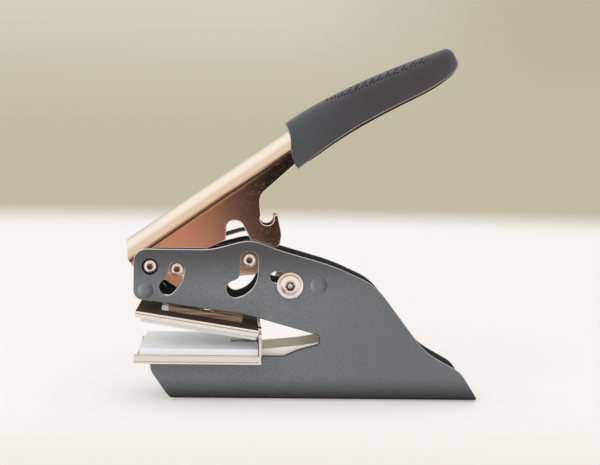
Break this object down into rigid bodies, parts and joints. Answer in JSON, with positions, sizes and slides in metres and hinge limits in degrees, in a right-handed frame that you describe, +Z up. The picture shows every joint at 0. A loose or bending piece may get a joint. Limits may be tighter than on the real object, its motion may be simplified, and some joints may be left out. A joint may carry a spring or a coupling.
{
  "type": "hand embosser",
  "caption": "Desktop hand embosser: folded steel stand, lever handle with grip, press link with roller, lock pin, and a slide-in insert that holds a pair of embossing dies.",
  "frame": {"origin": "on the table, under the middle of the whole object's length and width", "axes": "+Z up, +X from the die insert's open end to the heel, +Y across the stand"},
  "size_m": [0.185, 0.05, 0.1847],
  "materials": {
    "grey_paint": "fine textured powder coat",
    "handle_chrome": "bright nickel and chrome plate",
    "grip_rubber": "matt, with fine ribs along the top",
    "steel": "turned or pressed steel, zinc plated",
    "screw_steel": "bright button heads",
    "spring_steel": "drawn spring steel",
    "sleeve_plastic": "moulded",
    "nickel_plate": "nickel plated sheet",
    "lower_die_plastic": "pale bluish white, engraved",
    "upper_die_plastic": "pale translucent grey, engraved",
    "bar_plate": "plated, with a copper tint"
  },
  "bodies": {
    "stand": {"body_shell": "grey_paint", "spacer_front": "grey_paint", "spacer_rear": "grey_paint"},
    "handle": {"handle_channel": "handle_chrome", "handle_grip": "grip_rubber", "pivot_pin": "steel", "pivot_screws": "screw_steel", "pivot_bushes": "steel", "crank_pin": "steel", "crank_screws": "screw_steel", "return_spring": "spring_steel", "spring_sleeve": "sleeve_plastic", "spring_anchor": "steel"},
    "link": {"press_link": "steel", "press_roller": "steel", "roller_pin": "steel", "guide_pin": "steel", "guide_screws": "screw_steel"},
    "lock": {"lock_pin": "steel", "lock_screws": "screw_steel"},
    "insert": {"lower_plate": "nickel_plate", "lower_die": "lower_die_plastic", "lift_spring": "spring_steel", "leaf_rivets": "steel"},
    "upper_half": {"upper_plate": "nickel_plate", "upper_die": "upper_die_plastic", "pressure_bar": "bar_plate", "bar_rivets": "steel"}
  },
  "joints": [
    {"name": "handle_press", "type": "hinge", "parent": "stand", "child": "handle", "pos_m": [-0.07948, 0, 0.0697], "axis": [0, 1, 0], "range_deg": [0, 27], "stiffness_Nm_per_rad": 0.8, "springref_deg": -28.65, "deforming": ["return_spring"]},
    {"name": "link_swing", "type": "hinge", "parent": "handle", "child": "link", "pos_m": [-0.06568, 0, 0.0684], "axis": [0, 1, 0], "range_deg": [-18, 0]},
    {"name": "lock_swing", "type": "hinge", "parent": "stand", "child": "lock", "pos_m": [-0.01448, 0, 0.0568], "axis": [0, 1, 0], "range_deg": [-62, 33]},
    {"name": "insert_slide", "type": "slide", "parent": "stand", "child": "insert", "axis": [-1, 0, 0], "range_m": [0, 0.08]},
    {"name": "upper_half_close", "type": "hinge", "parent": "insert", "child": "upper_half", "pos_m": [0.00513, 0, 0.0322], "axis": [0, 1, 0], "range_deg": [-8.65, 0], "deforming": ["lift_spring"]}
  ],
  "couplings": [
    {"joint": "link_swing", "follows": "handle_press", "ratio": -0.66},
    {"joint": "upper_half_close", "follows": "handle_press", "ratio": -0.32}
  ]
}
